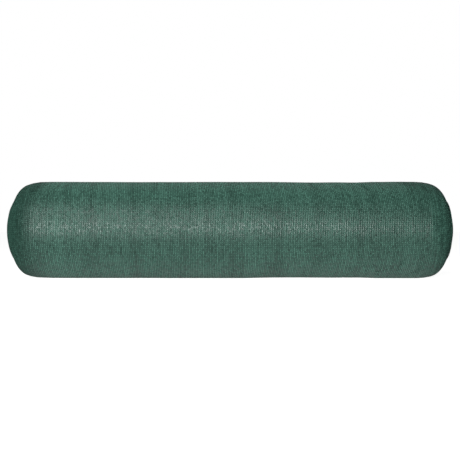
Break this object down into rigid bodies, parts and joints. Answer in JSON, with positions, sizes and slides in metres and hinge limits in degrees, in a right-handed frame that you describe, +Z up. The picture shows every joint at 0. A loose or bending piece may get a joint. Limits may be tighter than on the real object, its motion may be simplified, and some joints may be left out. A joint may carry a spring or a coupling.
{
  "type": "rolled privacy screen netting",
  "caption": "Dark green knitted privacy netting, folded lengthwise and wound into one long roll with low domed ends.",
  "frame": {"origin": "middle of the underside, on the surface that the roll lies on", "axes": "+X along the roll, -Y to the front, +Z up"},
  "size_m": [1, 0.2234, 0.2187],
  "materials": {
    "knitted_net": "satin"
  },
  "bodies": {
    "root": {"netting_roll": "knitted_net"}
  },
  "joints": []
}
